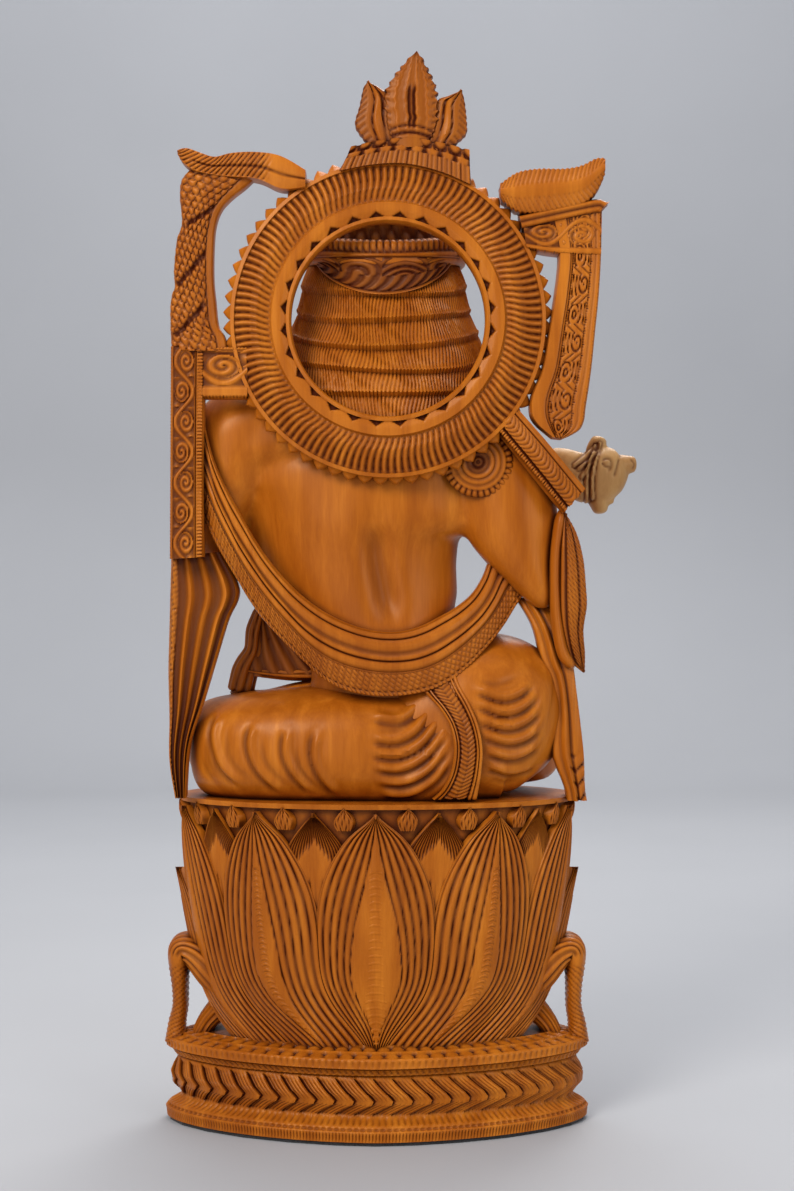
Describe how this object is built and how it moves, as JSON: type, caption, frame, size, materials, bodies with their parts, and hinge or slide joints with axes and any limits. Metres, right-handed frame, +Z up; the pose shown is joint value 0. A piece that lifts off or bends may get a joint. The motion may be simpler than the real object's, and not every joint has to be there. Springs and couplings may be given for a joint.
{
  "type": "krishna figure",
  "caption": "Carved wooden figure of a seated flute player on a lotus, with a halo ring, leaf crest, side frames and an oval plinth.",
  "frame": {"origin": "middle of the foot's underside, on the surface that it stands on", "axes": "+Z up; the figure faces +Y, and +X is to its right, where the flute points"},
  "size_m": [0.2826, 0.1286, 0.609],
  "materials": {
    "stained_wood": "orange-brown stain under a satin polish, dark in the cuts",
    "pale_wood": "unstained pale wood, matt",
    "felt": "thin dark felt"
  },
  "bodies": {
    "root": {"krishna_figure": "stained_wood", "flute": "pale_wood", "base_felt": "felt"}
  },
  "joints": []
}
